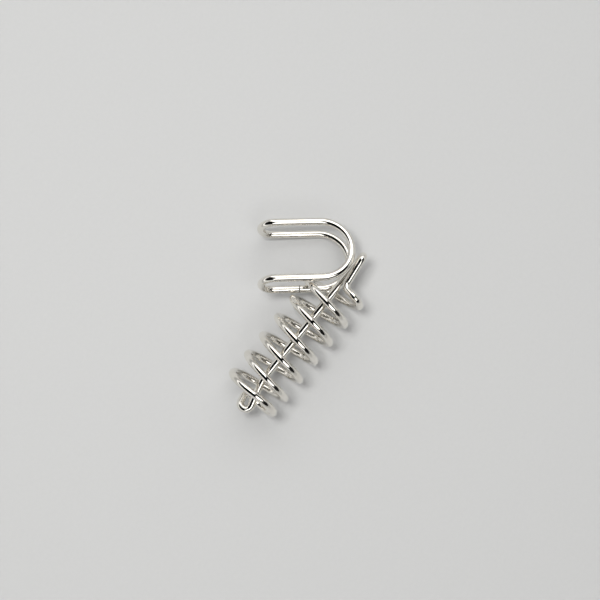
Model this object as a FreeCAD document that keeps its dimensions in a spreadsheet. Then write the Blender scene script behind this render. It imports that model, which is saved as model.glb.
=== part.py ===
"""Wire disentanglement puzzle: a closed wire spiral with a closed wire horseshoe ring threaded on it.

Both pieces are one length of round plated steel wire each, bent to shape with its ends butt-welded.
The spiral is designed about its own axis: +X from the lower hairpin to the upper one, +Z up.
The horseshoe is designed flat in a local frame and placed by three angles and a point.
At the end both pieces get one Placement, which puts the origin under the middle of the object.
"""

import FreeCAD, Part
import math
import os

Vector = FreeCAD.Vector

COINCIDENT = 1e-6  # mm: points closer than this are the same point
VOLUME_TOLERANCE = 0.01  # share by which a piece may differ from section times wire length

# Driving dimensions in millimetres, degrees and turns: alias, value.
DIMENSIONS = [
    ("wire_diameter", 2.8),
    # spiral
    ("coil_radius", 10.5),
    ("coil_pitch", 8.75),
    ("coil_turns", 5.57),
    ("coil_start_x", -22.5),
    ("rod_y", 0.2),
    ("closing_length", 8.0),
    ("lead_out_length", 3.4),
    ("lead_out_radius", 3.0),
    ("post_foot_x", 27.6),
    ("post_foot_y", -1.8),
    ("post_foot_z", 4.05),
    ("post_foot_radius", 2.85),
    ("upper_hairpin_x", 40.9),
    ("upper_leg_y", -0.15),
    ("upper_leg_z", 3.7),
    ("rod_bend_x", -18.5),
    ("rod_bend_radius", 22.0),
    ("lower_hairpin_x", -28.4),
    ("lower_hairpin_y", -0.6),
    ("lower_hairpin_angle", 13.0),
    ("lower_hairpin_radius", 2.1),
    ("leg_turn_x", -25.2),
    ("leg_turn_y", 2.3),
    ("leg_turn_z", -4.2),
    ("leg_turn_radius", 2.4),
    ("end_turn_lower_x", -26.5),
    ("end_turn_lower_z", -7.0),
    ("end_turn_lower_radius", 5.8),
    ("end_turn_upper_x", -22.8),
    ("end_turn_upper_radius", 10.0),
    # horseshoe ring
    ("ring_slot_pitch", 10.5),
    ("ring_bend_radius", 11.25),
    ("ring_table_arm", 16.2),
    ("ring_coil_arm", 17.1),
    ("ring_seam_x", 8.0),
    ("ring_closing_length", 4.0),
    ("ring_x", 31.37),
    ("ring_y", 12.71),
    ("ring_z", -1.3),
    ("ring_yaw", 130.6),
    ("ring_pitch_angle", -5.1),
    ("ring_roll", 21.8),
]


def make_sheet(doc):
    """Spreadsheet whose cells hold the driving dimensions, one alias per row."""
    sheet = doc.addObject("Spreadsheet::Sheet", "Dimensions")
    for row, (alias, value) in enumerate(DIMENSIONS, start=1):
        sheet.set("A%d" % row, alias)
        sheet.set("B%d" % row, str(value))
        sheet.setAlias("B%d" % row, alias)
    doc.recompute()
    return sheet


def rounded_run(corners, radii):
    """Edges from the first corner to the last: straight runs joined by tangent arcs at the inner corners."""
    edges = []
    start = corners[0]
    for before, corner, after, radius in zip(corners, corners[1:], corners[2:], radii):
        arriving = (corner - before).normalize()
        leaving = (after - corner).normalize()
        turn = arriving.getAngle(leaving)
        setback = radius * math.tan(turn / 2)
        arc_start = corner - arriving * setback
        arc_end = corner + leaving * setback
        inward = (leaving - arriving).normalize()
        middle = corner + inward * (radius / math.cos(turn / 2) - radius)
        gap = (arc_start - start).dot(arriving)
        if gap < -COINCIDENT:
            raise ValueError("an arc of radius %.2f doesn't fit its runs by %.3f mm" % (radius, -gap))
        if gap > COINCIDENT:
            edges.append(Part.makeLine(start, arc_start))
        edges.append(Part.Arc(arc_start, middle, arc_end).toShape())
        start = arc_end
    if (corners[-1] - start).Length > COINCIDENT:
        edges.append(Part.makeLine(start, corners[-1]))
    return edges


def hairpin_radius(before, first, second, after):
    """Radius with which the two corners of a hairpin's closed end share the run between them."""
    arriving = (first - before).normalize()
    across = (second - first).normalize()
    leaving = (after - second).normalize()
    half_turns = math.tan(arriving.getAngle(across) / 2) + math.tan(across.getAngle(leaving) / 2)
    return (second - first).Length / half_turns


def spiral_path(sheet):
    """Open centreline of the spiral: from the rod, round the upper hairpin, down the coil, back to the rod."""
    radius = sheet.coil_radius
    pitch = sheet.coil_pitch
    start_x = sheet.coil_start_x
    turned = 2 * math.pi * sheet.coil_turns
    helix = Part.makeLongHelix(pitch, pitch * sheet.coil_turns, radius, 0, True)
    # The helix is made along Z from the X side: turn it to run along X and start on the +Y side.
    helix.Placement = FreeCAD.Placement(Vector(start_x, 0, 0), FreeCAD.Rotation(Vector(1, 1, 1), 120))

    rise = pitch / (2 * math.pi * radius)
    slope = math.hypot(1, rise)
    coil_start = Vector(start_x, radius, 0)
    start_tangent = Vector(rise, 0, -1) / slope
    coil_end = Vector(start_x + pitch * sheet.coil_turns, radius * math.cos(turned), -radius * math.sin(turned))
    end_tangent = Vector(rise, -math.sin(turned), -math.cos(turned)) / slope

    rod_y = sheet.rod_y
    half_closing = sheet.closing_length / 2
    rod_upper = Vector(half_closing, rod_y, 0)
    upper_rod_corner = Vector(sheet.upper_hairpin_x, rod_y, 0)
    upper_leg_corner = Vector(sheet.upper_hairpin_x, sheet.upper_leg_y, sheet.upper_leg_z)
    post_foot = Vector(sheet.post_foot_x, sheet.post_foot_y, sheet.post_foot_z)
    lead_out = coil_end + end_tangent * sheet.lead_out_length
    upper_radius = hairpin_radius(rod_upper, upper_rod_corner, upper_leg_corner, post_foot)
    upper_end = rounded_run(
        [rod_upper, upper_rod_corner, upper_leg_corner, post_foot, lead_out, coil_end],
        [upper_radius, upper_radius, sheet.post_foot_radius, sheet.lead_out_radius],
    )

    angle = math.radians(sheet.lower_hairpin_angle)
    outward = Vector(-math.cos(angle), -math.sin(angle), 0)
    sideways = Vector(-math.sin(angle), math.cos(angle), 0)
    reach = sheet.lower_hairpin_radius
    end_middle = Vector(sheet.lower_hairpin_x, sheet.lower_hairpin_y, 0) + outward * reach
    lower_rod_corner = end_middle - sideways * reach
    lower_leg_corner = end_middle + sideways * reach
    rod_bend = Vector(sheet.rod_bend_x, rod_y, 0)
    leg_turn = Vector(sheet.leg_turn_x, sheet.leg_turn_y, sheet.leg_turn_z)
    end_turn_lower = Vector(sheet.end_turn_lower_x, -radius, sheet.end_turn_lower_z)
    end_turn_upper = Vector(sheet.end_turn_upper_x, -radius, radius)
    start_corner = coil_start - start_tangent * radius
    lower_radius = hairpin_radius(leg_turn, lower_leg_corner, lower_rod_corner, rod_bend)
    rod_lower = Vector(-half_closing, rod_y, 0)
    lower_end = rounded_run(
        [coil_start, start_corner, end_turn_upper, end_turn_lower, leg_turn]
        + [lower_leg_corner, lower_rod_corner, rod_bend, rod_lower],
        [sheet.end_turn_upper_radius, sheet.end_turn_upper_radius, sheet.end_turn_lower_radius]
        + [sheet.leg_turn_radius, lower_radius, lower_radius, sheet.rod_bend_radius],
    )
    print("spiral hairpin radii %.2f and %.2f mm" % (upper_radius, lower_radius))
    return Part.Wire(Part.__sortEdges__(upper_end + helix.Edges + lower_end))


def ring_path(sheet):
    """Open centreline of the horseshoe: a long closed link, bent into a U, cut open at its seam."""
    bend = sheet.ring_bend_radius
    half_slot = sheet.ring_slot_pitch / 2
    table_tip = sheet.ring_table_arm + half_slot
    coil_tip = sheet.ring_coil_arm + half_slot
    seam_start = sheet.ring_seam_x - sheet.ring_closing_length / 2
    seam_end = sheet.ring_seam_x + sheet.ring_closing_length / 2
    corners = [
        Vector(seam_start, bend, -half_slot),
        Vector(-bend, bend, -half_slot),
        Vector(-bend, -bend, -half_slot),
        Vector(table_tip, -bend, -half_slot),
        Vector(table_tip, -bend, half_slot),
        Vector(-bend, -bend, half_slot),
        Vector(-bend, bend, half_slot),
        Vector(coil_tip, bend, half_slot),
        Vector(coil_tip, bend, -half_slot),
        Vector(seam_end, bend, -half_slot),
    ]
    radii = [bend, bend, half_slot, half_slot, bend, bend, half_slot, half_slot]
    return Part.Wire(Part.__sortEdges__(rounded_run(corners, radii)))


def add_path(doc, name, wire):
    """Centreline as an object of the document."""
    path = doc.addObject("Part::Feature", name)
    path.Shape = wire
    return path


def add_swept_wire(doc, name, path):
    """Round section swept along the whole of an open centreline."""
    first = path.Shape.Edges[0]
    start = path.Shape.OrderedVertexes[0].Point
    at_start = first.valueAt(first.FirstParameter).distanceToPoint(start) < COINCIDENT
    parameter = first.FirstParameter if at_start else first.LastParameter
    section = doc.addObject("Part::Circle", name + "_section")
    section.setExpression("Radius", "Dimensions.wire_diameter / 2")
    section.Placement = FreeCAD.Placement(start, FreeCAD.Rotation(Vector(0, 0, 1), first.tangentAt(parameter)))
    sweep = doc.addObject("Part::Sweep", name + "_sweep")
    sweep.Sections = [section]
    sweep.Spine = (path, ["Edge%d" % (i + 1) for i in range(len(path.Shape.Edges))])
    sweep.Solid = True
    sweep.Frenet = False
    return sweep


def add_closing_rod(doc, name, start, direction, length_alias):
    """Straight stretch of wire that closes a piece where its ends are welded."""
    rod = doc.addObject("Part::Cylinder", name + "_closing")
    rod.setExpression("Radius", "Dimensions.wire_diameter / 2")
    rod.setExpression("Height", "Dimensions." + length_alias)
    rod.Placement = FreeCAD.Placement(start, FreeCAD.Rotation(Vector(0, 0, 1), direction))
    return rod


def add_piece(doc, label, sweep, rod):
    """The closed piece: its swept wire fused with its closing stretch."""
    piece = doc.addObject("Part::MultiFuse", label + "_piece")
    piece.Shapes = [sweep, rod]
    piece.Refine = False
    piece.Label = label
    return piece


def place_pieces(sheet, spiral, ring):
    """Put the ring on the spiral, then the origin at the bottom centre of the two together."""
    on_spiral = FreeCAD.Placement(
        Vector(sheet.ring_x, sheet.ring_y, sheet.ring_z),
        FreeCAD.Rotation(sheet.ring_yaw, sheet.ring_pitch_angle, sheet.ring_roll),
    )
    placed = ring.Shape.copy()
    placed.Placement = on_spiral
    box = Part.makeCompound([spiral.Shape, placed]).optimalBoundingBox(False)
    to_origin = FreeCAD.Placement(Vector(-box.Center.x, -box.Center.y, -box.ZMin), FreeCAD.Rotation())
    spiral.Placement = to_origin
    ring.Placement = to_origin.multiply(on_spiral)
    print("spiral axis at y %.3f, z %.3f; shift x %.3f" % (-box.Center.y, -box.ZMin, -box.Center.x))


def check_objects(doc):
    """Stop on an object that failed to compute."""
    for item in doc.Objects:
        if {"Invalid", "Error"} & set(item.State):
            raise RuntimeError("%s failed: %s" % (item.Name, item.State))


def check_piece(piece, wire_length, section):
    """Stop on a piece that isn't one valid solid whose volume is its section times its wire's length."""
    shape = piece.Shape
    if shape.isNull() or not shape.isValid() or len(shape.Solids) != 1:
        raise RuntimeError("%s isn't one valid solid" % piece.Label)
    ratio = shape.Volume / (section * wire_length)
    print("%s: wire %.1f mm, volume / (section x length) = %.4f" % (piece.Label, wire_length, ratio))
    if abs(ratio - 1) > VOLUME_TOLERANCE:
        raise RuntimeError("%s has the wrong volume" % piece.Label)


def main():
    doc = FreeCAD.newDocument("wire_puzzle")
    sheet = make_sheet(doc)

    spiral_line = add_path(doc, "spiral_path", spiral_path(sheet))
    ring_line = add_path(doc, "ring_path", ring_path(sheet))
    spiral_sweep = add_swept_wire(doc, "spiral", spiral_line)
    ring_sweep = add_swept_wire(doc, "ring", ring_line)

    rod_start = Vector(-sheet.closing_length / 2, sheet.rod_y, 0)
    spiral_rod = add_closing_rod(doc, "spiral", rod_start, Vector(1, 0, 0), "closing_length")
    seam_start = Vector(
        sheet.ring_seam_x - sheet.ring_closing_length / 2, sheet.ring_bend_radius, -sheet.ring_slot_pitch / 2
    )
    ring_rod = add_closing_rod(doc, "ring", seam_start, Vector(1, 0, 0), "ring_closing_length")
    doc.recompute()

    spiral = add_piece(doc, "spiral", spiral_sweep, spiral_rod)
    ring = add_piece(doc, "horseshoe_ring", ring_sweep, ring_rod)
    doc.recompute()
    place_pieces(sheet, spiral, ring)
    doc.recompute()

    check_objects(doc)
    section = math.pi * (sheet.wire_diameter / 2) ** 2
    check_piece(spiral, spiral_line.Shape.Length + sheet.closing_length, section)
    check_piece(ring, ring_line.Shape.Length + sheet.ring_closing_length, section)
    print("gap between the pieces %.3f mm" % spiral.Shape.distToShape(ring.Shape)[0])

    os.makedirs("parts", exist_ok=True)
    for piece in (spiral, ring):
        piece.Shape.exportStep("parts/%s.step" % piece.Label)


main()
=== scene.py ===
"""Finish and stage for a wire disentanglement puzzle.

The puzzle is a closed wire spiral with a closed wire horseshoe ring threaded on it. Both pieces are bent
from one length of round steel wire each, butt-welded, polished and nickel plated. Every length is in
metres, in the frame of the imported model: +X along the coil, +Z up from the table.
"""

from __future__ import annotations

import logging
import math
from dataclasses import dataclass, field
from enum import Enum
from typing import Callable, Iterable, Sequence

import bpy
import bmesh
from mathutils import Matrix, Vector

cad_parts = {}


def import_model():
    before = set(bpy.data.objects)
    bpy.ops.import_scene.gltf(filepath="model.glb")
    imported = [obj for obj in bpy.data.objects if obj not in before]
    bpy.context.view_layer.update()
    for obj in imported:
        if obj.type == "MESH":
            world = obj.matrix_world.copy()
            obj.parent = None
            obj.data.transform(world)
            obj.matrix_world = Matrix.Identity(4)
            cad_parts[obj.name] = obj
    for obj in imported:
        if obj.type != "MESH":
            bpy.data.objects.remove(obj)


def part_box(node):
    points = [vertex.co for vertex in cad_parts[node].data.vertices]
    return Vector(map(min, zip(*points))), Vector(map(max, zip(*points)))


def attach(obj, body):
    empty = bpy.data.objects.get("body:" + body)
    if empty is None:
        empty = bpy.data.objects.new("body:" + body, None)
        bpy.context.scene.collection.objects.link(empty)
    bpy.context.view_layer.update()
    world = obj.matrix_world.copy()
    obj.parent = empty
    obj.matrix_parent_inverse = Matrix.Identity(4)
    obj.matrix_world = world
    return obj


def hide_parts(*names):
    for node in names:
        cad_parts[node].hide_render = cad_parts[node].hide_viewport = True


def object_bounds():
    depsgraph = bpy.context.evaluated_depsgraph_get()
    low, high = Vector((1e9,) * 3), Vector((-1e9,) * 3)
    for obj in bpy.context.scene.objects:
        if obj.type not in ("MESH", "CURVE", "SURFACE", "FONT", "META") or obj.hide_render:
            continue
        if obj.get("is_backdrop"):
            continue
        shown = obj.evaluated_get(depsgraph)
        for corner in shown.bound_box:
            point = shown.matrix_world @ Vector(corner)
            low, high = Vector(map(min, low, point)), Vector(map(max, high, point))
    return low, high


LOG = logging.getLogger("wire_puzzle")
Colour = tuple[float, float, float, float]
Size = int | float | tuple[float, ...] | bpy.types.Material
MM = 0.001
MICRON = 1e-6


class Body(Enum):
    """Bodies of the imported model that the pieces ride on."""

    SPIRAL = "spiral"
    RING = "ring"


class Mark(Enum):
    """Names of the values that a wire's mesh carries for its finish and its shape."""

    TURN = "turn"
    ON_COIL = "on_coil"
    FROM_WELD = "from_weld"
    ALONG_WIRE = "along_wire"


def linear(hex_colour: str) -> Colour:
    """Turn an sRGB hex colour into a linear colour.

    Args:
        hex_colour: six hex digits, with or without a leading #.

    Returns:
        Linear red, green, blue and an alpha of 1.
    """
    digits = hex_colour.lstrip("#")
    channels = [int(digits[i : i + 2], 16) / 255 for i in (0, 2, 4)]
    red, green, blue = [c / 12.92 if c <= 0.04045 else ((c + 0.055) / 1.055) ** 2.4 for c in channels]
    return red, green, blue, 1.0


def grey(level: float) -> Colour:
    """Neutral linear colour of one level."""
    return level, level, level, 1.0


def add_node(
    tree: bpy.types.NodeTree,
    kind: str,
    settings: dict[str, str | bool] | None = None,
    values: dict[str | int, str | Size] | None = None,
    links: dict[str | int, bpy.types.NodeSocket] | None = None,
) -> bpy.types.Node:
    """Add one node with its settings, socket values and incoming links.

    Args:
        tree: node tree that gets the node.
        kind: class name of the node.
        settings: properties of the node itself.
        values: constants for its input sockets, by name or number.
        links: sockets that feed its input sockets, by name or number.

    Returns:
        The new node.
    """
    node = tree.nodes.new(kind)
    for name, value in (settings or {}).items():
        setattr(node, name, value)
    for name, value in (values or {}).items():
        node.inputs[name].default_value = value
    for name, socket in (links or {}).items():
        tree.links.new(socket, node.inputs[name])
    return node


def calculate(
    tree: bpy.types.NodeTree, operation: str, *operands: float | bpy.types.NodeSocket
) -> bpy.types.NodeSocket:
    """Add one math node.

    Args:
        tree: node tree that gets the node.
        operation: what the node calculates.
        operands: its inputs in order, each a number or the socket that feeds it.

    Returns:
        The socket of its result.
    """
    numbers = {i: operand for i, operand in enumerate(operands) if isinstance(operand, float)}
    sockets = {i: operand for i, operand in enumerate(operands) if i not in numbers}
    return add_node(tree, "ShaderNodeMath", {"operation": operation}, numbers, sockets).outputs[0]


def set_ramp(node: bpy.types.Node, stops: Sequence[tuple[float, Colour]]) -> None:
    """Give a colour ramp node its stops.

    Args:
        node: the colour ramp node.
        stops: position and linear colour of each stop, in rising order.
    """
    ramp = node.color_ramp
    while len(ramp.elements) < len(stops):
        ramp.elements.new(1.0)
    for element, (position, colour) in zip(ramp.elements, stops):
        element.position = position
        element.color = colour


@dataclass(frozen=True)
class NickelPlate:
    """Bright nickel plate on polished steel wire.

    The wire is drawn, bent, tumbled and plated: the eye sees a mirror with a faint warm tint. It is
    slightly wavy where the plate has levelled over the drawn surface, with fine lines along the wire
    and a little haze from handling.
    """

    name: str = "nickel_plate_bright"
    tint_light: str = "#F3F1EC"
    tint_warm: str = "#E6E1D7"
    weld_stain: str = "#5B5248"
    roughness_polished: float = 0.025
    roughness_hazy: float = 0.10
    roughness_of_lines: float = 0.025
    roughness_of_scratches: float = 0.12
    roughness_of_stain: float = 0.3
    haze_size: float = 3.0 * MM
    haze_from: float = 0.42
    haze_to: float = 0.72
    drawing_line_width: float = 0.16 * MM
    drawing_line_length: float = 9.0 * MM
    drawing_line_depth: float = 1.2 * MICRON
    ripple_size: float = 2.6 * MM
    ripple_depth: float = 7.0 * MICRON
    scratch_spacing: float = 1.1 * MM
    scratch_width: float = 0.025
    scratch_bends_per_spacing: float = 0.7
    scratch_depth: float = 1.5 * MICRON
    stain_reach: float = 0.22 * MM
    stain_core: float = 0.077 * MM

    def make(self) -> bpy.types.Material:
        """Build the material.

        Returns:
            The plated wire's material.
        """
        material = bpy.data.materials.new(self.name)
        material.use_nodes = True
        tree = material.node_tree
        tree.nodes.clear()
        place = add_node(tree, "ShaderNodeTexCoord")
        wire = add_node(tree, "ShaderNodeAttribute", {"attribute_name": Mark.ALONG_WIRE.value})
        weld = add_node(tree, "ShaderNodeAttribute", {"attribute_name": Mark.FROM_WELD.value})

        # Haze from handling: soft patches a few millimetres across.
        haze = add_node(
            tree,
            "ShaderNodeTexNoise",
            values={"Scale": 1 / self.haze_size, "Detail": 3.0, "Roughness": 0.55},
            links={"Vector": place.outputs["Object"]},
        )
        # Lines of the drawing die: long along the wire, narrow round it.
        across = 1 / self.drawing_line_width
        stretched = add_node(
            tree,
            "ShaderNodeVectorMath",
            {"operation": "MULTIPLY"},
            {1: (1 / self.drawing_line_length, across, across)},
            {0: wire.outputs["Vector"]},
        )
        lines = add_node(
            tree,
            "ShaderNodeTexNoise",
            values={"Scale": 1.0, "Detail": 2.0, "Roughness": 0.6},
            links={"Vector": stretched.outputs[0]},
        )
        # Waves that the plate leaves where it levels over the bent wire.
        ripple = add_node(
            tree,
            "ShaderNodeTexNoise",
            values={"Scale": 1 / self.ripple_size, "Detail": 1.0, "Roughness": 0.4},
            links={"Vector": place.outputs["Object"]},
        )
        # Scratches where the two pieces rub: thin borders of distorted cells.
        bent = add_node(
            tree,
            "ShaderNodeTexNoise",
            values={"Scale": self.scratch_bends_per_spacing / self.scratch_spacing, "Detail": 2.0},
            links={"Vector": place.outputs["Object"]},
        )
        drift = add_node(
            tree,
            "ShaderNodeVectorMath",
            {"operation": "MULTIPLY_ADD"},
            {1: (self.scratch_spacing,) * 3},
            {0: bent.outputs["Color"], 2: place.outputs["Object"]},
        )
        cells = add_node(
            tree,
            "ShaderNodeTexVoronoi",
            {"feature": "DISTANCE_TO_EDGE"},
            {"Scale": 1 / self.scratch_spacing},
            {"Vector": drift.outputs[0]},
        )
        scratch = add_node(
            tree,
            "ShaderNodeMapRange",
            values={"From Min": 0.0, "From Max": self.scratch_width, "To Min": 1.0, "To Max": 0.0},
            links={"Value": cells.outputs["Distance"]},
        )

        # Roughness: polished, hazier in patches and on the scratches.
        patches = add_node(
            tree,
            "ShaderNodeMapRange",
            values={
                "From Min": self.haze_from,
                "From Max": self.haze_to,
                "To Min": self.roughness_polished,
                "To Max": self.roughness_hazy,
            },
            links={"Value": haze.outputs["Fac"]},
        )
        streaks = calculate(
            tree, "MULTIPLY_ADD", lines.outputs["Fac"], self.roughness_of_lines, patches.outputs["Result"]
        )
        rubbed = calculate(
            tree, "MULTIPLY_ADD", scratch.outputs["Result"], self.roughness_of_scratches, streaks
        )

        # Stain of the weld: a thin dark line round the wire where its ends meet.
        stain = add_node(
            tree,
            "ShaderNodeMapRange",
            {"interpolation_type": "SMOOTHSTEP"},
            {"From Min": self.stain_core, "From Max": self.stain_reach, "To Min": 1.0, "To Max": 0.0},
            {"Value": weld.outputs["Fac"]},
        )
        tint = add_node(
            tree,
            "ShaderNodeMix",
            {"data_type": "RGBA"},
            {6: linear(self.tint_light), 7: linear(self.tint_warm)},
            {0: haze.outputs["Fac"]},
        )
        colour = add_node(
            tree,
            "ShaderNodeMix",
            {"data_type": "RGBA"},
            {7: linear(self.weld_stain)},
            {0: stain.outputs["Result"], 6: tint.outputs[2]},
        )
        roughness = add_node(
            tree,
            "ShaderNodeMath",
            {"operation": "MULTIPLY_ADD", "use_clamp": True},
            {1: self.roughness_of_stain},
            {0: stain.outputs["Result"], 2: rubbed},
        )

        waves = add_node(
            tree,
            "ShaderNodeBump",
            values={"Strength": 1.0, "Distance": self.ripple_depth},
            links={"Height": ripple.outputs["Fac"]},
        )
        drawn = add_node(
            tree,
            "ShaderNodeBump",
            values={"Strength": 1.0, "Distance": self.drawing_line_depth},
            links={"Height": lines.outputs["Fac"], "Normal": waves.outputs["Normal"]},
        )
        scored = add_node(
            tree,
            "ShaderNodeBump",
            {"invert": True},
            {"Strength": 1.0, "Distance": self.scratch_depth},
            {"Height": scratch.outputs["Result"], "Normal": drawn.outputs["Normal"]},
        )
        shader = add_node(
            tree,
            "ShaderNodeBsdfPrincipled",
            values={"Metallic": 1.0},
            links={
                "Base Color": colour.outputs[2],
                "Roughness": roughness.outputs["Value"],
                "Normal": scored.outputs["Normal"],
            },
        )
        add_node(tree, "ShaderNodeOutputMaterial", links={"Surface": shader.outputs["BSDF"]})
        return material


@dataclass(frozen=True)
class MattBoard:
    """Pale matt board under the puzzle: uncoated paper board, flat and slightly fibrous."""

    name: str = "board_pale_matt"
    colour_light: str = "#BABAB9"
    colour_dark: str = "#B5B5B4"
    fibre_size: float = 1.5 * MM
    roughness: float = 0.9
    specular_level: float = 0.2

    def make(self) -> bpy.types.Material:
        """Build the material.

        Returns:
            The board's material.
        """
        material = bpy.data.materials.new(self.name)
        material.use_nodes = True
        tree = material.node_tree
        tree.nodes.clear()
        place = add_node(tree, "ShaderNodeTexCoord")
        fibres = add_node(
            tree,
            "ShaderNodeTexNoise",
            values={"Scale": 1 / self.fibre_size, "Detail": 4.0, "Roughness": 0.7},
            links={"Vector": place.outputs["Object"]},
        )
        tint = add_node(
            tree,
            "ShaderNodeMix",
            {"data_type": "RGBA"},
            {6: linear(self.colour_dark), 7: linear(self.colour_light)},
            {0: fibres.outputs["Fac"]},
        )
        shader = add_node(
            tree,
            "ShaderNodeBsdfPrincipled",
            values={"Roughness": self.roughness, "Specular IOR Level": self.specular_level},
            links={"Base Color": tint.outputs[2]},
        )
        add_node(tree, "ShaderNodeOutputMaterial", links={"Surface": shader.outputs["BSDF"]})
        return material


@dataclass(frozen=True)
class Station:
    """One point of a wire's centreline, with the turn of the coil that it lies on, if it lies on it."""

    place: Vector
    turn: float = 0.0
    on_coil: bool = False


@dataclass
class CentreLine:
    """Closed centreline of a wire, built run by run from its weld round to its weld again."""

    arc_step: float = math.radians(5)
    run_step: float = 2.0 * MM
    weld_step: float = 0.03 * MM
    weld_reach: float = 0.6 * MM
    stations: list[Station] = field(default_factory=list)

    def add(self, place: Vector, turn: float = 0.0, on_coil: bool = False) -> None:
        """Add one station, unless the line already ends there.

        Args:
            place: where the station is.
            turn: the coil's turn that it lies on.
            on_coil: whether it lies on the coil.
        """
        if self.stations and (self.stations[-1].place - place).length < MICRON:
            return
        self.stations.append(Station(place.copy(), turn, on_coil))

    def add_straight(self, start: Vector, end: Vector) -> None:
        """Add a straight run, divided evenly.

        Args:
            start: where the run starts.
            end: where it ends.
        """
        steps = max(1, math.ceil((end - start).length / self.run_step))
        for i in range(steps + 1):
            self.add(start.lerp(end, i / steps))

    def add_bends(self, corners: Sequence[Vector], radii: Sequence[float]) -> None:
        """Add straight runs joined by tangent arcs.

        Args:
            corners: the first point, the corners of the runs and the last point.
            radii: bend radius at each inner corner.
        """
        start = corners[0]
        for before, corner, after, radius in zip(corners, corners[1:], corners[2:], radii):
            arriving = (corner - before).normalized()
            leaving = (after - corner).normalized()
            bend = arriving.angle(leaving)
            setback = radius * math.tan(bend / 2)
            arc_start = corner - arriving * setback
            self.add_straight(start, arc_start)
            towards = (leaving - arriving * arriving.dot(leaving)).normalized()
            centre = arc_start + towards * radius
            steps = max(2, math.ceil(bend / self.arc_step))
            for i in range(1, steps + 1):
                angle = bend * i / steps
                self.add(centre + (arriving * math.sin(angle) - towards * math.cos(angle)) * radius)
            start = corner + leaving * setback
        self.add_straight(start, corners[-1])

    def add_coil(self, turns: float, place_of_turn: Callable[[float], Vector]) -> None:
        """Add the stations of a coil from its last turn back to its first.

        Args:
            turns: how many turns the coil makes.
            place_of_turn: function from a turn to its place, used to space the runs on either side.
        """
        steps = math.ceil(turns * 2 * math.pi / (self.arc_step / 2))
        for i in range(steps - 1, 0, -1):
            turn = turns * i / steps
            self.add(place_of_turn(turn), turn, True)

    def refined_weld(self) -> list[Station]:
        """Divide the runs next to the weld finely enough for its groove.

        Returns:
            The stations, starting and ending beside the weld.
        """
        first, second = self.stations[0].place, self.stations[1].place
        last, one_before = self.stations[-1].place, self.stations[-2].place
        steps = math.ceil(self.weld_reach / self.weld_step)
        ahead = (second - first).normalized()
        behind = (one_before - last).normalized()
        leaving = [Station(first + ahead * (self.weld_reach * i / steps)) for i in range(1, steps + 1)]
        arriving = [Station(last + behind * (self.weld_reach * i / steps)) for i in range(steps, 0, -1)]
        return [self.stations[0], *leaving, *self.stations[1:-1], *arriving]


def hairpin_radius(before: Vector, first: Vector, second: Vector, after: Vector) -> float:
    """Radius with which the two corners of a hairpin's closed end share the run between them.

    Args:
        before: point before the closed end.
        first: its first corner.
        second: its second corner.
        after: point after it.

    Returns:
        The shared bend radius.
    """
    arriving, across, leaving = first - before, second - first, after - second
    return across.length / (math.tan(arriving.angle(across) / 2) + math.tan(across.angle(leaving) / 2))


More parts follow.
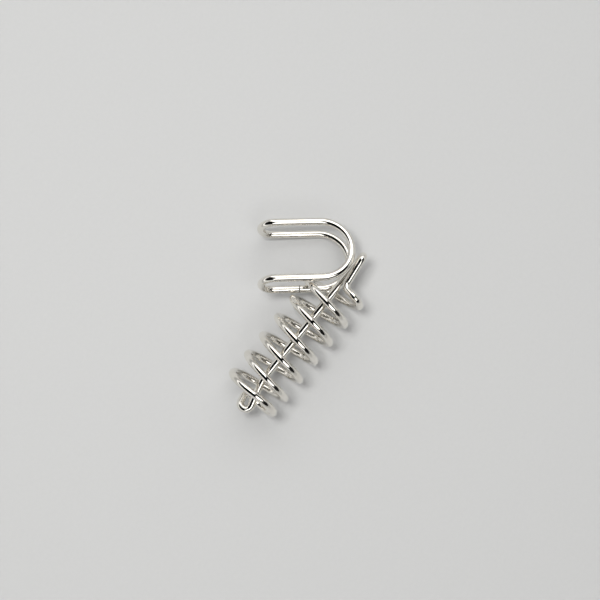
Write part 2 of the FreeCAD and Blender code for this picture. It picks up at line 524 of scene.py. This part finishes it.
@dataclass
class BentWire:
    """A closed length of round wire: what the spiral and the horseshoe have in common."""

    name: str
    node: str
    slot: str
    body: Body
    axis_origin: Vector
    wire_diameter: float = 2.8 * MM
    sides: int = 40
    groove_depth: float = 0.09 * MM
    groove_width: float = 0.07 * MM
    flash_height: float = 0.035 * MM
    flash_width: float = 0.13 * MM
    weld_counted_to: float = 2.0 * MM

    def centre_line(self) -> CentreLine:
        """Closed centreline of the wire; each piece gives its own."""
        raise NotImplementedError

    def coil_inputs(self) -> dict[str, Size]:
        """Sizes of the coil for the node tree; a piece without a coil has none."""
        return {}

    def guide(self) -> bpy.types.Object:
        """Build the closed line of edges that the node tree turns into wire.

        Returns:
            An object whose points carry their turn and their distance from the weld.
        """
        stations = self.centre_line().refined_weld()
        count = len(stations)
        mesh = bpy.data.meshes.new(self.name + "_guide")
        mesh.from_pydata([s.place for s in stations], [(i, (i + 1) % count) for i in range(count)], [])
        lengths = [0.0]
        for before, after in zip(stations, stations[1:]):
            lengths.append(lengths[-1] + (after.place - before.place).length)
        whole = lengths[-1] + (stations[0].place - stations[-1].place).length
        turn = mesh.attributes.new(Mark.TURN.value, "FLOAT", "POINT")
        on_coil = mesh.attributes.new(Mark.ON_COIL.value, "BOOLEAN", "POINT")
        from_weld = mesh.attributes.new(Mark.FROM_WELD.value, "FLOAT", "POINT")
        for i, station in enumerate(stations):
            turn.data[i].value = station.turn
            on_coil.data[i].value = station.on_coil
            from_weld.data[i].value = min(lengths[i], whole - lengths[i], self.weld_counted_to)
        guide = bpy.data.objects.new(self.name + "_guide", mesh)
        bpy.context.collection.objects.link(guide)
        LOG.info("%s: %d stations, %.1f mm of wire", self.name, count, whole / MM)
        return guide

    def wire_tree(self) -> bpy.types.NodeTree:
        """Build the node tree that sets the coil to its rule and sweeps the wire's section along the line.

        Returns:
            The geometry node tree, with the wire's and the coil's sizes as named inputs.
        """
        tree = bpy.data.node_groups.new(self.name + "_wire", "GeometryNodeTree")
        sockets = tree.interface
        sockets.new_socket("Geometry", in_out="INPUT", socket_type="NodeSocketGeometry")
        for name in ("Wire Radius", "Groove Depth", "Groove Width", "Flash Height", "Flash Width"):
            sockets.new_socket(name, in_out="INPUT", socket_type="NodeSocketFloat")
        sockets.new_socket("Sides", in_out="INPUT", socket_type="NodeSocketInt")
        sockets.new_socket("Coil Radius", in_out="INPUT", socket_type="NodeSocketFloat")
        sockets.new_socket("Coil Pitch", in_out="INPUT", socket_type="NodeSocketFloat")
        sockets.new_socket("Coil Start", in_out="INPUT", socket_type="NodeSocketVector")
        sockets.new_socket("Finish", in_out="INPUT", socket_type="NodeSocketMaterial")
        sockets.new_socket("Geometry", in_out="OUTPUT", socket_type="NodeSocketGeometry")
        given = add_node(tree, "NodeGroupInput").outputs

        # The coil: a turn advances one pitch along X and goes once round the axis, left-handed.
        turn = add_node(
            tree, "GeometryNodeInputNamedAttribute", {"data_type": "FLOAT"}, {"Name": Mark.TURN.value}
        )
        on_coil = add_node(
            tree, "GeometryNodeInputNamedAttribute", {"data_type": "BOOLEAN"}, {"Name": Mark.ON_COIL.value}
        )
        angle = calculate(tree, "MULTIPLY", turn.outputs["Attribute"], 2 * math.pi)
        advance = calculate(tree, "MULTIPLY", turn.outputs["Attribute"], given["Coil Pitch"])
        sideways = calculate(tree, "MULTIPLY", calculate(tree, "COSINE", angle), given["Coil Radius"])
        lift = calculate(tree, "MULTIPLY", calculate(tree, "SINE", angle), given["Coil Radius"])
        drop = calculate(tree, "MULTIPLY", lift, -1.0)
        offset = add_node(tree, "ShaderNodeCombineXYZ", links={"X": advance, "Y": sideways, "Z": drop})
        place = add_node(
            tree,
            "ShaderNodeVectorMath",
            {"operation": "ADD"},
            links={0: given["Coil Start"], 1: offset.outputs[0]},
        )
        coiled = add_node(
            tree,
            "GeometryNodeSetPosition",
            links={
                "Geometry": given["Geometry"],
                "Selection": on_coil.outputs["Attribute"],
                "Position": place.outputs[0],
            },
        )
        line = add_node(tree, "GeometryNodeMeshToCurve", links={"Mesh": coiled.outputs["Geometry"]})
        steady = add_node(tree, "GeometryNodeSetCurveNormal", links={"Curve": line.outputs["Curve"]})

        # The weld: a narrow groove with a little flash on each side, as a change of the wire's radius.
        from_weld = add_node(
            tree, "GeometryNodeInputNamedAttribute", {"data_type": "FLOAT"}, {"Name": Mark.FROM_WELD.value}
        )
        away = from_weld.outputs["Attribute"]
        groove = self.hump(tree, away, None, given["Groove Width"], given["Groove Depth"])
        flash = self.hump(tree, away, given["Flash Width"], given["Groove Width"], given["Flash Height"])
        radius = calculate(tree, "ADD", calculate(tree, "SUBTRACT", flash, groove), given["Wire Radius"])
        factor = calculate(tree, "DIVIDE", radius, given["Wire Radius"])

        # The section, and the place on the wire that the finish follows.
        along = add_node(tree, "GeometryNodeSplineParameter")
        line_kept = add_node(
            tree,
            "GeometryNodeStoreNamedAttribute",
            {"data_type": "FLOAT", "domain": "POINT"},
            {"Name": "wire_length"},
            {"Geometry": steady.outputs["Curve"], "Value": along.outputs["Length"]},
        )
        circle = add_node(
            tree,
            "GeometryNodeCurvePrimitiveCircle",
            {"mode": "RADIUS"},
            links={"Resolution": given["Sides"], "Radius": given["Wire Radius"]},
        )
        section_place = add_node(tree, "GeometryNodeInputPosition")
        section_kept = add_node(
            tree,
            "GeometryNodeStoreNamedAttribute",
            {"data_type": "FLOAT_VECTOR", "domain": "POINT"},
            {"Name": "wire_section"},
            {"Geometry": circle.outputs["Curve"], "Value": section_place.outputs["Position"]},
        )
        swept = add_node(
            tree,
            "GeometryNodeCurveToMesh",
            links={
                "Curve": line_kept.outputs["Geometry"],
                "Profile Curve": section_kept.outputs["Geometry"],
                "Scale": factor,
            },
        )
        length_here = add_node(
            tree, "GeometryNodeInputNamedAttribute", {"data_type": "FLOAT"}, {"Name": "wire_length"}
        )
        section_here = add_node(
            tree, "GeometryNodeInputNamedAttribute", {"data_type": "FLOAT_VECTOR"}, {"Name": "wire_section"}
        )
        parts = add_node(tree, "ShaderNodeSeparateXYZ", links={0: section_here.outputs["Attribute"]})
        on_wire = add_node(
            tree,
            "ShaderNodeCombineXYZ",
            links={"X": length_here.outputs["Attribute"], "Y": parts.outputs["X"], "Z": parts.outputs["Y"]},
        )
        kept = add_node(
            tree,
            "GeometryNodeStoreNamedAttribute",
            {"data_type": "FLOAT_VECTOR", "domain": "POINT"},
            {"Name": Mark.ALONG_WIRE.value},
            {"Geometry": swept.outputs["Mesh"], "Value": on_wire.outputs[0]},
        )
        geometry = kept.outputs["Geometry"]
        for name in ("wire_length", "wire_section", Mark.TURN.value, Mark.ON_COIL.value):
            geometry = add_node(
                tree, "GeometryNodeRemoveAttribute", values={"Name": name}, links={"Geometry": geometry}
            ).outputs["Geometry"]
        smooth = add_node(tree, "GeometryNodeSetShadeSmooth", links={0: geometry})
        real = add_node(tree, "GeometryNodeRealizeInstances", links={0: smooth.outputs[0]})
        dressed = add_node(
            tree, "GeometryNodeSetMaterial", links={"Geometry": real.outputs[0], "Material": given["Finish"]}
        )
        add_node(tree, "NodeGroupOutput", links={0: dressed.outputs["Geometry"]})
        return tree

    @staticmethod
    def hump(
        tree: bpy.types.NodeTree,
        distance: bpy.types.NodeSocket,
        centre: bpy.types.NodeSocket | None,
        width: bpy.types.NodeSocket,
        height: bpy.types.NodeSocket,
    ) -> bpy.types.NodeSocket:
        """Add nodes for a bell-shaped hump of a given height at a given distance from the weld.

        Args:
            tree: the wire's node tree.
            distance: distance from the weld.
            centre: distance at which the hump peaks; none means at the weld itself.
            width: width of the bell.
            height: height of the bell.

        Returns:
            The socket with the hump's height at each place.
        """
        shifted = distance if centre is None else calculate(tree, "SUBTRACT", distance, centre)
        scaled = calculate(tree, "DIVIDE", shifted, width)
        fall = calculate(tree, "MULTIPLY", calculate(tree, "MULTIPLY", scaled, scaled), -1.0)
        return calculate(tree, "MULTIPLY", calculate(tree, "EXPONENT", fall), height)

    def build(self, finish: bpy.types.Material) -> bpy.types.Object:
        """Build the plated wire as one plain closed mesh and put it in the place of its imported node.

        Args:
            finish: the plate's material.

        Returns:
            The finished piece.
        """
        guide = self.guide()
        tree = self.wire_tree()
        sizes: dict[str, Size] = {
            "Wire Radius": self.wire_diameter / 2,
            "Groove Depth": self.groove_depth,
            "Groove Width": self.groove_width,
            "Flash Height": self.flash_height,
            "Flash Width": self.flash_width,
            "Sides": self.sides,
            "Finish": finish,
            **self.coil_inputs(),
        }
        modifier = guide.modifiers.new("wire", "NODES")
        modifier.node_group = tree
        sockets = {item.name: item.identifier for item in tree.interface.items_tree if item.in_out == "INPUT"}
        for name, value in sizes.items():
            modifier[sockets[name]] = value
        bpy.context.view_layer.update()
        evaluated = guide.evaluated_get(bpy.context.evaluated_depsgraph_get())
        mesh = bpy.data.meshes.new_from_object(evaluated)
        guide.modifiers.remove(modifier)
        bpy.data.objects.remove(guide)
        mesh.name = self.name
        self.face_outwards(mesh)
        piece = bpy.data.objects.new(self.name, mesh)
        bpy.context.collection.objects.link(piece)
        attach(piece, self.body.value)
        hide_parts(self.node)
        LOG.info("%s: %d faces on body %s", self.name, len(mesh.polygons), self.body.value)
        return piece

    @staticmethod
    def face_outwards(mesh: bpy.types.Mesh) -> None:
        """Turn all faces of a closed mesh outwards.

        Args:
            mesh: the closed mesh.
        """
        shell = bmesh.new()
        shell.from_mesh(mesh)
        bmesh.ops.recalc_face_normals(shell, faces=shell.faces)
        if shell.calc_volume(signed=True) < 0:
            bmesh.ops.reverse_faces(shell, faces=shell.faces)
        shell.to_mesh(mesh)
        shell.free()


@dataclass
class Spiral(BentWire):
    """The closed spiral: a rod along the axis, a hairpin at each end and a left-handed coil round the rod."""

    coil_radius: float = 10.5 * MM
    coil_pitch: float = 8.75 * MM
    coil_turns: float = 5.57
    coil_start_x: float = -22.5 * MM
    rod_y: float = 0.2 * MM
    lead_out_length: float = 3.4 * MM
    lead_out_radius: float = 3.0 * MM
    post_foot: tuple[float, float, float] = (27.6 * MM, -1.8 * MM, 4.05 * MM)
    post_foot_radius: float = 2.85 * MM
    upper_hairpin_x: float = 40.9 * MM
    upper_leg: tuple[float, float] = (-0.15 * MM, 3.7 * MM)
    rod_bend_x: float = -18.5 * MM
    rod_bend_radius: float = 22.0 * MM
    lower_hairpin: tuple[float, float] = (-28.4 * MM, -0.6 * MM)
    lower_hairpin_angle: float = math.radians(13)
    lower_hairpin_reach: float = 2.1 * MM
    leg_turn: tuple[float, float, float] = (-25.2 * MM, 2.3 * MM, -4.2 * MM)
    leg_turn_radius: float = 2.4 * MM
    end_turn_lower: tuple[float, float] = (-26.5 * MM, -7.0 * MM)
    end_turn_lower_radius: float = 5.8 * MM
    end_turn_upper_x: float = -22.8 * MM
    end_turn_upper_radius: float = 10.0 * MM

    @classmethod
    def axis_origin_in(cls, box: Sequence[Sequence[float]]) -> Vector:
        """Find the point of the coil's axis that the sizes are counted from.

        Args:
            box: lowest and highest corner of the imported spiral.

        Returns:
            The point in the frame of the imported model.
        """
        low, high = box
        wire_radius = cls.wire_diameter / 2
        return Vector(
            (
                high[0] - wire_radius - cls.upper_hairpin_x,
                low[1] + wire_radius + cls.coil_radius,
                low[2] + wire_radius + cls.coil_radius,
            )
        )

    def place_of_turn(self, turn: float) -> Vector:
        """Place of the coil's centreline at a turn, counted from the axis origin.

        Args:
            turn: the turn, 0 at the coil's start.

        Returns:
            The place.
        """
        angle = 2 * math.pi * turn
        return Vector(
            (
                self.coil_start_x + self.coil_pitch * turn,
                self.coil_radius * math.cos(angle),
                -self.coil_radius * math.sin(angle),
            )
        )

    def direction_of_turn(self, turn: float) -> Vector:
        """Direction of the coil's centreline at a turn.

        Args:
            turn: the turn, 0 at the coil's start.

        Returns:
            The direction, of length 1.
        """
        angle = 2 * math.pi * turn
        rise = self.coil_pitch / (2 * math.pi * self.coil_radius)
        return Vector((rise, -math.sin(angle), -math.cos(angle))).normalized()

    def coil_inputs(self) -> dict[str, Size]:
        """Sizes of the coil for the node tree.

        Returns:
            Each size by the name of its input.
        """
        return {
            "Coil Radius": self.coil_radius,
            "Coil Pitch": self.coil_pitch,
            "Coil Start": tuple(self.axis_origin + Vector((self.coil_start_x, 0, 0))),
        }

    def centre_line(self) -> CentreLine:
        """Centreline from the weld in the rod, round the upper end, down the coil and back to the weld.

        Returns:
            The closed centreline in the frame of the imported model.
        """
        origin = self.axis_origin
        weld = Vector((0, self.rod_y, 0))
        rod_corner = Vector((self.upper_hairpin_x, self.rod_y, 0))
        leg_corner = Vector((self.upper_hairpin_x, *self.upper_leg))
        foot = Vector(self.post_foot)
        coil_end = self.place_of_turn(self.coil_turns)
        lead_out = coil_end + self.direction_of_turn(self.coil_turns) * self.lead_out_length
        upper_radius = hairpin_radius(weld, rod_corner, leg_corner, foot)

        angle = self.lower_hairpin_angle
        outward = Vector((-math.cos(angle), -math.sin(angle), 0))
        sideways = Vector((-math.sin(angle), math.cos(angle), 0))
        middle = Vector((*self.lower_hairpin, 0)) + outward * self.lower_hairpin_reach
        lower_rod = middle - sideways * self.lower_hairpin_reach
        lower_leg = middle + sideways * self.lower_hairpin_reach
        bend = Vector((self.rod_bend_x, self.rod_y, 0))
        leg_turn = Vector(self.leg_turn)
        end_lower = Vector((self.end_turn_lower[0], -self.coil_radius, self.end_turn_lower[1]))
        end_upper = Vector((self.end_turn_upper_x, -self.coil_radius, self.coil_radius))
        coil_start = self.place_of_turn(0)
        start_corner = coil_start - self.direction_of_turn(0) * self.coil_radius
        lower_radius = hairpin_radius(leg_turn, lower_leg, lower_rod, bend)

        line = CentreLine()
        line.add_bends(
            [origin + p for p in (weld, rod_corner, leg_corner, foot, lead_out, coil_end)],
            [upper_radius, upper_radius, self.post_foot_radius, self.lead_out_radius],
        )
        line.add_coil(self.coil_turns, lambda turn: origin + self.place_of_turn(turn))
        tuck = (coil_start, start_corner, end_upper, end_lower, leg_turn, lower_leg, lower_rod, bend, weld)
        line.add_bends(
            [origin + p for p in tuck],
            [
                self.end_turn_upper_radius,
                self.end_turn_upper_radius,
                self.end_turn_lower_radius,
                self.leg_turn_radius,
                lower_radius,
                lower_radius,
                self.rod_bend_radius,
            ],
        )
        return line


@dataclass
class HorseshoeRing(BentWire):
    """The horseshoe: a long narrow link of wire with round ends, bent into a U."""

    slot_pitch: float = 10.5 * MM
    bend_radius: float = 11.25 * MM
    table_arm: float = 16.2 * MM
    coil_arm: float = 17.1 * MM
    weld_x: float = 8.0 * MM
    place_on_coil: tuple[float, float, float] = (31.37 * MM, 12.71 * MM, -1.3 * MM)
    yaw: float = math.radians(130.6)
    pitch: float = math.radians(-5.1)
    roll: float = math.radians(21.8)

    def placement(self) -> Matrix:
        """Where the ring lies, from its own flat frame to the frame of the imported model.

        Returns:
            The placement.
        """
        yaw = Matrix.Rotation(self.yaw, 4, "Z")
        pitch = Matrix.Rotation(self.pitch, 4, "Y")
        roll = Matrix.Rotation(self.roll, 4, "X")
        return Matrix.Translation(self.axis_origin + Vector(self.place_on_coil)) @ yaw @ pitch @ roll

    def centre_line(self) -> CentreLine:
        """Centreline from the weld round the bend, the table arm's tip and the coil arm's tip to the weld.

        Returns:
            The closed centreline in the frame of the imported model.
        """
        bend, half_slot = self.bend_radius, self.slot_pitch / 2
        table_tip, coil_tip = self.table_arm + half_slot, self.coil_arm + half_slot
        corners = [
            (self.weld_x, bend, -half_slot),
            (-bend, bend, -half_slot),
            (-bend, -bend, -half_slot),
            (table_tip, -bend, -half_slot),
            (table_tip, -bend, half_slot),
            (-bend, -bend, half_slot),
            (-bend, bend, half_slot),
            (coil_tip, bend, half_slot),
            (coil_tip, bend, -half_slot),
            (self.weld_x, bend, -half_slot),
        ]
        placed = self.placement()
        line = CentreLine()
        line.add_bends(
            [placed @ Vector(corner) for corner in corners],
            [bend, bend, half_slot, half_slot, bend, bend, half_slot, half_slot],
        )
        return line


@dataclass
class Floor:
    """Round board that the puzzle lies on, turned up at its rim as a backdrop."""

    radius: float = 0.7
    rim_radius: float = 0.35
    rim_angle: float = math.radians(85)
    rings: int = 24
    sectors: int = 96

    def build(self, finish: bpy.types.Material) -> bpy.types.Object:
        """Args:
            finish: the board's material.

        Returns:
            The board.
        """
        profile = [(self.radius / 2, 0.0), (self.radius, 0.0)]
        for i in range(1, self.rings + 1):
            angle = self.rim_angle * i / self.rings
            outwards, upwards = math.sin(angle), 1 - math.cos(angle)
            profile.append((self.radius + self.rim_radius * outwards, self.rim_radius * upwards))
        shell = bmesh.new()
        centre = shell.verts.new((0, 0, 0))
        bearings = [2 * math.pi * k / self.sectors for k in range(self.sectors)]
        loops = [
            [shell.verts.new((reach * math.cos(b), reach * math.sin(b), height)) for b in bearings]
            for reach, height in profile
        ]
        for k in range(self.sectors):
            shell.faces.new((centre, loops[0][k], loops[0][(k + 1) % self.sectors]))
        for inner, outer in zip(loops, loops[1:]):
            for k in range(self.sectors):
                following = (k + 1) % self.sectors
                shell.faces.new((inner[k], outer[k], outer[following], inner[following]))
        mesh = bpy.data.meshes.new("floor_board")
        shell.to_mesh(mesh)
        shell.free()
        for polygon in mesh.polygons:
            polygon.use_smooth = True
        mesh.materials.append(finish)
        board = bpy.data.objects.new("floor_board", mesh)
        bpy.context.collection.objects.link(board)
        board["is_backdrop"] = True
        LOG.info("floor board %.1f m across", 2 * (self.radius + self.rim_radius))
        return board


@dataclass(frozen=True)
class Pane:
    """Bright pane of the light tent, between two tilts from straight up towards X and two towards Y."""

    tilts_x: tuple[float, float]
    tilts_y: tuple[float, float]


@dataclass(frozen=True)
class LightTent:
    """White light tent round the puzzle: bright panes near the top, a dark gap round them, pale walls.

    Angles are counted from straight up. The opening is a darker part of the wall that faces one side.
    """

    panes: tuple[Pane, ...] = (
        Pane((math.radians(14), math.radians(56)), (math.radians(-4), math.radians(58))),
        Pane((math.radians(-34), math.radians(12)), (math.radians(-48), math.radians(-13))),
    )
    pane_level: float = 2.4
    gap_end: float = math.radians(60)
    gap_level: float = 0.008
    wall_start: float = math.radians(64)
    wall_level: float = 1.15
    low_level: float = 0.75
    opening_towards: tuple[float, float] = (-0.10, -0.99)
    opening_low: float = math.sin(math.radians(13))
    opening_high: float = math.sin(math.radians(46))
    opening_narrow: float = 0.70
    opening_level: float = 0.01
    wall_foot: float = 0.25
    softness: float = 0.02

    def step(
        self, tree: bpy.types.NodeTree, value: bpy.types.NodeSocket, edge: float, rising: bool
    ) -> bpy.types.NodeSocket:
        """Add a soft step at the edge of a bright or dark area.

        Args:
            tree: the world's node tree.
            value: the value that crosses the edge.
            edge: where the edge lies.
            rising: whether the area lies above the edge.

        Returns:
            The socket that is 1 inside the area and 0 outside it.
        """
        inside, outside = (1.0, 0.0) if rising else (0.0, 1.0)
        return add_node(
            tree,
            "ShaderNodeMapRange",
            {"interpolation_type": "SMOOTHSTEP"},
            {
                "From Min": edge - self.softness,
                "From Max": edge + self.softness,
                "To Min": outside,
                "To Max": inside,
            },
            {"Value": value},
        ).outputs["Result"]

    @staticmethod
    def overlap(tree: bpy.types.NodeTree, areas: Sequence[bpy.types.NodeSocket]) -> bpy.types.NodeSocket:
        """Multiply areas, which leaves the part of the sky that lies in all of them.

        Args:
            tree: the world's node tree.
            areas: sockets that are 1 inside their area and 0 outside it.

        Returns:
            The socket of the shared part.
        """
        shared = areas[0]
        for area in areas[1:]:
            shared = calculate(tree, "MULTIPLY", shared, area)
        return shared

    @staticmethod
    def covered(
        tree: bpy.types.NodeTree, colour: bpy.types.NodeSocket, area: bpy.types.NodeSocket, level: float
    ) -> bpy.types.NodeSocket:
        """Cover one area of the sky with a neutral level.

        Args:
            tree: the world's node tree.
            colour: colour of the sky so far.
            area: socket that is 1 inside the area and 0 outside it.
            level: the neutral level.

        Returns:
            The socket of the sky's colour with the area covered.
        """
        return add_node(
            tree, "ShaderNodeMix", {"data_type": "RGBA"}, {7: grey(level)}, {0: area, 6: colour}
        ).outputs[2]

    def build(self) -> None:
        """Build the tent as the world's background."""
        world = bpy.data.worlds.new("light_tent")
        bpy.context.scene.world = world
        world.use_nodes = True
        tree = world.node_tree
        tree.nodes.clear()
        sky = add_node(tree, "ShaderNodeTexCoord").outputs["Generated"]
        parts = add_node(tree, "ShaderNodeSeparateXYZ", links={0: sky}).outputs
        bands = add_node(tree, "ShaderNodeValToRGB", links={0: parts["Z"]})
        set_ramp(
            bands,
            [
                (0.0, grey(self.low_level)),
                (self.wall_foot, grey(self.wall_level)),
                (math.cos(self.wall_start), grey(self.wall_level)),
                (math.cos(self.gap_end), grey(self.gap_level)),
            ],
        )
        colour = bands.outputs["Color"]
        for pane in self.panes:
            area = self.overlap(
                tree,
                [
                    self.step(tree, parts["X"], math.sin(pane.tilts_x[0]), True),
                    self.step(tree, parts["X"], math.sin(pane.tilts_x[1]), False),
                    self.step(tree, parts["Y"], math.sin(pane.tilts_y[0]), True),
                    self.step(tree, parts["Y"], math.sin(pane.tilts_y[1]), False),
                    self.step(tree, parts["Z"], math.cos(self.gap_end), True),
                ],
            )
            colour = self.covered(tree, colour, area, self.pane_level)
        flat = add_node(
            tree, "ShaderNodeVectorMath", {"operation": "MULTIPLY"}, {1: (1.0, 1.0, 0.0)}, {0: sky}
        ).outputs[0]
        level = add_node(tree, "ShaderNodeVectorMath", {"operation": "NORMALIZE"}, links={0: flat})
        facing = add_node(
            tree,
            "ShaderNodeVectorMath",
            {"operation": "DOT_PRODUCT"},
            {1: (*self.opening_towards, 0.0)},
            {0: level.outputs[0]},
        ).outputs["Value"]
        opening = self.overlap(
            tree,
            [
                self.step(tree, facing, self.opening_narrow, True),
                self.step(tree, parts["Z"], self.opening_low, True),
                self.step(tree, parts["Z"], self.opening_high, False),
            ],
        )
        colour = self.covered(tree, colour, opening, self.opening_level)
        light = add_node(tree, "ShaderNodeBackground", links={"Color": colour})
        add_node(tree, "ShaderNodeOutputWorld", links={"Surface": light.outputs["Background"]})
        LOG.info("light tent built")


@dataclass(frozen=True)
class SoftBox:
    """Square soft light that gives the puzzle its soft shadow."""

    name: str = "soft_box"
    place: tuple[float, float, float] = (0.0, 0.20, 0.85)
    size: float = 0.24
    power: float = 5.2

    def build(self, target: Vector) -> bpy.types.Object:
        """Build the light, aimed at the puzzle.

        Args:
            target: point that the light faces.

        Returns:
            The light.
        """
        data = bpy.data.lights.new(self.name, "AREA")
        data.shape = "SQUARE"
        data.size = self.size
        data.energy = self.power
        lamp = bpy.data.objects.new(self.name, data)
        lamp.location = self.place
        lamp.visible_glossy = False
        lamp.rotation_euler = (target - Vector(self.place)).to_track_quat("-Z", "Y").to_euler()
        bpy.context.collection.objects.link(lamp)
        return lamp


@dataclass(frozen=True)
class OverheadCamera:
    """Camera almost straight above the puzzle.

    The places are counted in the table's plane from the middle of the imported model's box.
    """

    height: float = 475.9 * MM
    over: tuple[float, float] = (0.56 * MM, -11.60 * MM)
    looks_at: tuple[float, float] = (7.1 * MM, -4.85 * MM)
    looks_at_height: float = 11.9 * MM
    up: tuple[float, float] = (0.7776, 0.6287)
    lens: float = 75.4
    sensor: float = 36.0
    nearest: float = 0.01
    farthest: float = 10.0

    def build(self, middle: Vector) -> bpy.types.Object:
        """Build the camera and make it the scene's.

        Args:
            middle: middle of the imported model's box.

        Returns:
            The camera.
        """
        data = bpy.data.cameras.new("camera")
        data.lens = self.lens
        data.sensor_width = self.sensor
        data.clip_start = self.nearest
        data.clip_end = self.farthest
        place = Vector((middle.x + self.over[0], middle.y + self.over[1], self.height))
        target = Vector((middle.x + self.looks_at[0], middle.y + self.looks_at[1], self.looks_at_height))
        back = (place - target).normalized()
        right = Vector((*self.up, 0.0)).cross(back).normalized()
        up = back.cross(right)
        camera = bpy.data.objects.new("camera", data)
        camera.matrix_world = Matrix.Translation(place) @ Matrix((right, up, back)).transposed().to_4x4()
        bpy.context.collection.objects.link(camera)
        bpy.context.scene.camera = camera
        return camera


def corners_as_lists(box: Iterable[Vector]) -> list[list[float]]:
    """Lowest and highest corner of a box as plain lists."""
    return [[float(value) for value in corner] for corner in box]


def main() -> None:
    """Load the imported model, build the two plated wires round it and set the stage."""
    logging.basicConfig(level=logging.INFO, format="%(name)s: %(message)s")
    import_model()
    packed = corners_as_lists(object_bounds())
    low, high = Vector(packed[0]), Vector(packed[1])
    middle = (low + high) / 2

    plate = NickelPlate().make()
    axis_origin = Spiral.axis_origin_in(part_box("spiral"))
    Spiral("spiral_wire", "spiral", "spiral_wire", Body.SPIRAL, axis_origin).build(plate)
    HorseshoeRing("horseshoe_ring_wire", "horseshoe_ring", "ring_wire", Body.RING, axis_origin).build(plate)

    Floor().build(MattBoard().make())
    LightTent().build()
    SoftBox().build(middle)
    OverheadCamera().build(middle)
    bpy.context.scene.view_settings.view_transform = "Standard"


if __name__ == "__main__":
    main()
